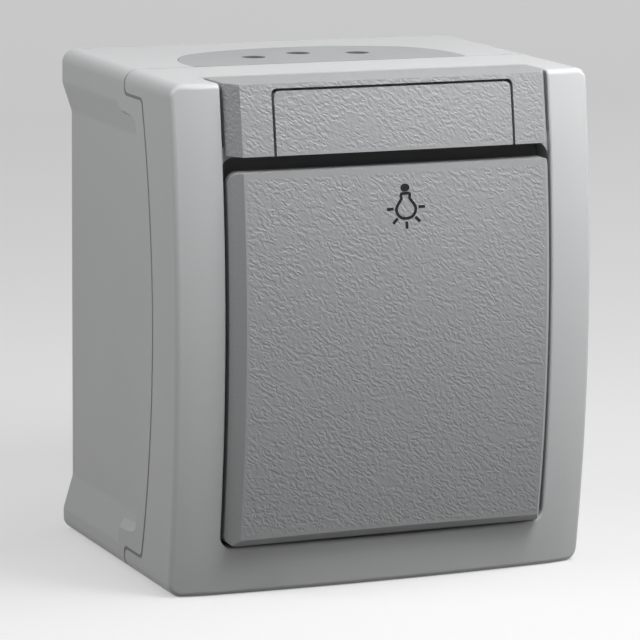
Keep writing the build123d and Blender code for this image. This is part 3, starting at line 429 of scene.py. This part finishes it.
# half the bulb's outline: distance from the middle, height
bulbOutline = [(0.0, 21.10), (0.45, 21.10), (0.70, 20.93), (0.66, 20.40), (0.92, 19.98),
               (1.26, 19.50), (1.50, 19.03), (1.51, 18.62), (1.33, 18.14), (0.98, 17.76),
               (0.52, 17.55), (0.0, 17.49)]


def rayTree(material, cuts):
    tree, given, result = newTree("symbolRays", [
        ("Rays", "NodeSocketInt", 5), ("Inner radius", "NodeSocketFloat", 2.0),
        ("Ray length", "NodeSocketFloat", 1.0), ("Stroke", "NodeSocketFloat", 0.3)])
    index = addNode(tree, "GeometryNodeInputIndex")
    last = mathNode(tree, "SUBTRACT", given.outputs["Rays"], 1)
    share = mathNode(tree, "DIVIDE", index.outputs["Index"], last)
    angle = mathNode(tree, "MULTIPLY", share, -pi)
    reach = mathNode(tree, "ADD", given.outputs["Inner radius"],
                     mathNode(tree, "MULTIPLY", given.outputs["Ray length"], 0.5))
    place = addNode(tree, "ShaderNodeCombineXYZ")
    link(tree, mathNode(tree, "MULTIPLY", reach, mathNode(tree, "COSINE", angle)),
         place.inputs["X"])
    link(tree, mathNode(tree, "MULTIPLY", reach, mathNode(tree, "SINE", angle)),
         place.inputs["Y"])
    points = addNode(tree, "GeometryNodePoints")
    link(tree, given.outputs["Rays"], points.inputs["Count"])
    link(tree, place.outputs["Vector"], points.inputs["Position"])
    bar = addNode(tree, "GeometryNodeMeshGrid", {"Vertices X": cuts, "Vertices Y": 2})
    link(tree, given.outputs["Ray length"], bar.inputs["Size X"])
    link(tree, given.outputs["Stroke"], bar.inputs["Size Y"])
    turn = addNode(tree, "ShaderNodeCombineXYZ")
    link(tree, angle, turn.inputs["Z"])
    spread = addNode(tree, "GeometryNodeInstanceOnPoints")
    link(tree, points.outputs["Points"], spread.inputs["Points"])
    link(tree, bar.outputs["Mesh"], spread.inputs["Instance"])
    link(tree, turn.outputs["Vector"], spread.inputs["Rotation"])
    endTree(tree, spread.outputs["Instances"], result, material)
    return tree


def smoothLoop(points, steps):
    # rounds a closed outline with a Catmull-Rom curve
    loop = []
    count = len(points)
    for i in range(count):
        a, b, c, d = (Vector(points[(i + k - 1) % count]) for k in range(4))
        for s in range(steps):
            t = s / steps
            loop.append(0.5 * (2 * b + (c - a) * t + (2 * a - 5 * b + 4 * c - d) * t ** 2
                               + (3 * b - a - 3 * c + d) * t ** 3))
    return loop


def strokeLoop(form, loop, wide):
    # a closed band of one width along a flat outline
    count = len(loop)
    pairs = []
    for i in range(count):
        along = (loop[(i + 1) % count] - loop[i - 1]).normalized()
        side = Vector((-along.y, along.x)) * wide / 2
        pairs.append([form.verts.new((*(loop[i] + side * s), 0)) for s in (1, -1)])
    for i in range(count):
        near, far = pairs[i], pairs[(i + 1) % count]
        form.faces.new((near[0], near[1], far[1], far[0]))


def cappedDisc(form, x, y, wide, tall, steps=20):
    rim = [form.verts.new((x + wide / 2 * cos(2 * pi * i / steps),
                           y + tall / 2 * sin(2 * pi * i / steps), 0)) for i in range(steps)]
    middle = form.verts.new((x, y, 0))
    for i in range(steps):
        form.faces.new((rim[i], rim[(i + 1) % steps], middle))


def makeSymbol(setup):
    rays = growMesh(rayTree(symbolInk, setup["rayCuts"]), "symbolRayShapes", {
        "Rays": setup["rays"], "Inner radius": setup["rayInner"],
        "Ray length": setup["rayLength"], "Stroke": setup["stroke"]})
    form = bmesh.new()
    form.from_mesh(rays)
    bmesh.ops.translate(form, verts=form.verts, vec=(0, setup["rayCentreZ"], 0))
    left = [(-x, z) for x, z in reversed(bulbOutline[1:-1])]
    outline = smoothLoop(bulbOutline + left, setup["outlineCuts"])
    strokeLoop(form, outline, setup["stroke"])
    cappedDisc(form, 0, setup["capZ"], setup["capWide"], setup["capTall"])
    bmesh.ops.recalc_face_normals(form, faces=form.faces)
    bmesh.ops.rotate(form, verts=form.verts, cent=(0, setup["rayCentreZ"], 0),
                     matrix=Matrix.Rotation(radians(setup["tilt"]), 3, "Z"))
    # lay the flat drawing on the key's bowed face, along rays from a metre in front
    key = nodes["push_key"]
    keyFace = BVHTree.FromPolygons([v.co for v in key.data.vertices],
                                   [p.vertices for p in key.data.polygons])
    for v in form.verts:
        x = (setup["centreX"] + v.co.x) * mm
        z = v.co.y * mm
        hit = keyFace.ray_cast(Vector((x, -1, z)), Vector((0, 1, 0)))[0]
        v.co = Vector((x, hit.y - setup["clear"] * mm, z))
    for face in form.faces:
        face.normal_update()
        if face.normal.y > 0:
            face.normal_flip()
    bmesh.ops.solidify(form, geom=form.faces[:], thickness=setup["ink"] * mm)
    mesh = bpy.data.meshes.new("bulbSymbol")
    form.to_mesh(mesh)
    form.free()
    mesh.materials.append(symbolInk)
    return newPiece("bulbSymbol", mesh)


bulbSymbol = makeSymbol(symbol)
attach(bulbSymbol, "key")
print("bulb symbol printed")


# Screw threads

threads = {
    "coverScrews": {"spacing": 43.0, "z": 31.0, "start": 14.3, "length": 14.0},
    "insertScrews": {"spacing": 51.2, "z": -2.425, "start": 22.2, "length": 9.5},
    "pitch": 0.7,
    "core": 1.5,
    "ridge": 0.13,
}
helixCuts = 22        # for each turn


def helixTree(name, material):
    # one helix or a pair side by side, each leading straight out from the wall
    tree, given, result = newTree(name, [
        ("Pitch", "NodeSocketFloat", 0.7), ("Core radius", "NodeSocketFloat", 1.5),
        ("Ridge", "NodeSocketFloat", 0.13), ("Length", "NodeSocketFloat", 10.0),
        ("Sides", "NodeSocketInt", 3), ("Count", "NodeSocketInt", 2),
        ("Spacing", "NodeSocketFloat", 40.0), ("Centre", "NodeSocketVector", (0, 0, 0))])
    helix = addNode(tree, "GeometryNodeCurveSpiral", {"Resolution": helixCuts})
    link(tree, mathNode(tree, "DIVIDE", given.outputs["Length"], given.outputs["Pitch"]),
         helix.inputs["Rotations"])
    for end in ("Start Radius", "End Radius"):
        link(tree, given.outputs["Core radius"], helix.inputs[end])
    link(tree, given.outputs["Length"], helix.inputs["Height"])
    profile = addNode(tree, "GeometryNodeCurvePrimitiveCircle")
    link(tree, given.outputs["Sides"], profile.inputs["Resolution"])
    link(tree, given.outputs["Ridge"], profile.inputs["Radius"])
    sweep = addNode(tree, "GeometryNodeCurveToMesh", {"Fill Caps": True})
    link(tree, helix.outputs["Curve"], sweep.inputs["Curve"])
    link(tree, profile.outputs["Curve"], sweep.inputs["Profile Curve"])
    index = addNode(tree, "GeometryNodeInputIndex")
    side = mathNode(tree, "SUBTRACT", index.outputs["Index"], 0.5)
    place = addNode(tree, "ShaderNodeCombineXYZ")
    link(tree, mathNode(tree, "MULTIPLY", side, given.outputs["Spacing"]), place.inputs["X"])
    shifted = addNode(tree, "ShaderNodeVectorMath", operation="ADD")
    link(tree, place.outputs["Vector"], shifted.inputs[0])
    link(tree, given.outputs["Centre"], shifted.inputs[1])
    points = addNode(tree, "GeometryNodePoints")
    link(tree, given.outputs["Count"], points.inputs["Count"])
    link(tree, shifted.outputs["Vector"], points.inputs["Position"])
    spread = addNode(tree, "GeometryNodeInstanceOnPoints",
                     {"Rotation": Euler((pi / 2, 0, 0))})
    link(tree, points.outputs["Points"], spread.inputs["Points"])
    link(tree, sweep.outputs["Mesh"], spread.inputs["Instance"])
    endTree(tree, spread.outputs["Instances"], result, material)
    return tree


def makeThreads(name, setup):
    mesh = growMesh(helixTree("screwThread", zincSteel), name, {
        "Pitch": threads["pitch"] * mm, "Core radius": threads["core"] * mm,
        "Ridge": threads["ridge"] * mm, "Length": setup["length"] * mm,
        "Spacing": setup["spacing"] * mm,
        "Centre": (0.0, -setup["start"] * mm, setup["z"] * mm)})
    return newPiece(name, mesh)


for threadName, setup in (("coverScrewThreads", threads["coverScrews"]),
                          ("insertScrewThreads", threads["insertScrews"])):
    thread = makeThreads(threadName, setup)
    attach(thread, "housing")
print("screw threads cut")


# Return spring, wound at rest; the coil keeps this length when the plunger goes in

spring = {"wire": 0.25, "coilRadius": 2.2, "turns": 5, "sides": 10, "travel": 1.14}


def makeSpring(setup):
    low, high = (Vector(corner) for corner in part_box("return_spring"))
    wire = setup["wire"] * mm
    length = high.y - low.y - 2 * wire
    mesh = growMesh(helixTree("springCoil", springSteel), "returnSpringCoil", {
        "Pitch": length / setup["turns"], "Core radius": setup["coilRadius"] * mm,
        "Ridge": wire, "Length": length, "Sides": setup["sides"], "Count": 1,
        "Spacing": 0.0, "Centre": (0.0, high.y - wire, (low.z + high.z) / 2)})
    piece = newPiece("returnSpringCoil", mesh)
    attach(piece, "housing")
    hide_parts("return_spring")
    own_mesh(piece)


makeSpring(spring)
print("return spring wound")


# Studio

studio = {
    "floorColour": (0.42, 0.42, 0.42),
    "floorBounce": (0.12, 0.12, 0.12),
    "floorGlow": 0.42,          # seen, but not cast on the switch
    "floorSize": 1.6,           # half its width, in metres, as are the next three
    "backStart": 0.45,
    "backRadius": 0.35,
    "backTop": 1.6,
    "backCuts": 24,
    "paperRoughness": 0.9,
    "paperSpecular": 0.1,
    "worldStrength": 0.25,
    "lamps": [
        # name, place in metres, size in metres, watts
        ("leftLamp", (-0.20, -0.04, 0.16), 0.10, 0.21),
        ("frontTopLamp", (0.03, -0.20, 0.22), 0.15, 0.26),
        ("nearTopLamp", (0.06, -0.13, 0.15), 0.08, 0.22),
        ("rightLamp", (0.70, -0.10, 0.35), 0.40, 2.45),
        ("backLamp", (0.06, 0.50, -0.004), 0.07, 0.80),
    ],
}


def makeFloor(setup):
    # floor and backdrop in one sweep
    half = setup["floorSize"]
    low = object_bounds()[0][2]
    line = [(-half, 0.0), (setup["backStart"], 0.0)]
    for i in range(1, setup["backCuts"] + 1):
        turn = pi / 2 * i / setup["backCuts"]
        line.append((setup["backStart"] + setup["backRadius"] * sin(turn),
                     setup["backRadius"] * (1 - cos(turn))))
    line.append((setup["backStart"] + setup["backRadius"], setup["backTop"]))
    form = bmesh.new()
    rows = [[form.verts.new((x, y, low + z)) for x in (-half, half)] for y, z in line]
    for a, b in zip(rows, rows[1:]):
        form.faces.new((a[0], a[1], b[1], b[0])).smooth = True
    mesh = bpy.data.meshes.new("studioFloor")
    form.to_mesh(mesh)
    form.free()
    material, tree, shader = newMaterial("studioPaper", setup["paperRoughness"],
                                         specular=setup["paperSpecular"])
    # the lens and reflections see pale paper, while its light on the switch stays low
    rays = addNode(tree, "ShaderNodeLightPath").outputs
    seen = mathNode(tree, "MAXIMUM", rays["Is Camera Ray"], rays["Is Glossy Ray"])
    seen = mathNode(tree, "MAXIMUM", seen, rays["Is Transmission Ray"])
    link(tree, shadeBetween(tree, seen, setup["floorBounce"], setup["floorColour"]),
         shader.inputs["Base Color"])
    shader.inputs["Emission Color"].default_value = (1, 1, 1, 1)
    link(tree, mathNode(tree, "MULTIPLY", seen, setup["floorGlow"]),
         shader.inputs["Emission Strength"])
    mesh.materials.append(material)
    return newPiece("studioFloor", mesh)


def lightStudio(setup, floor):
    # the low lamp at the back would draw an edge on the paper, so it leaves the paper out
    spared = bpy.data.collections.new("backLampSpares")
    spared.objects.link(floor)
    spared.collection_objects[0].light_linking.link_state = "EXCLUDE"
    for name, place, size, power in setup["lamps"]:
        data = bpy.data.lights.new(name, "AREA")
        data.shape = "SQUARE"
        data.size = size
        data.energy = power
        lamp = bpy.data.objects.new(name, data)
        lamp.location = place
        lamp.rotation_euler = (-Vector(place)).to_track_quat("-Z", "Y").to_euler()
        bpy.context.scene.collection.objects.link(lamp)
        if name == "backLamp":
            lamp.light_linking.receiver_collection = spared
    world = bpy.data.worlds.new("studioWorld")
    world.use_nodes = True
    sky = world.node_tree.nodes["Background"]
    sky.inputs["Color"].default_value = (1, 1, 1, 1)
    sky.inputs["Strength"].default_value = setup["worldStrength"]
    bpy.context.scene.world = world


studioFloor = makeFloor(studio)
lightStudio(studio, studioFloor)
bpy.context.scene.view_settings.view_transform = "Standard"
print("studio ready")
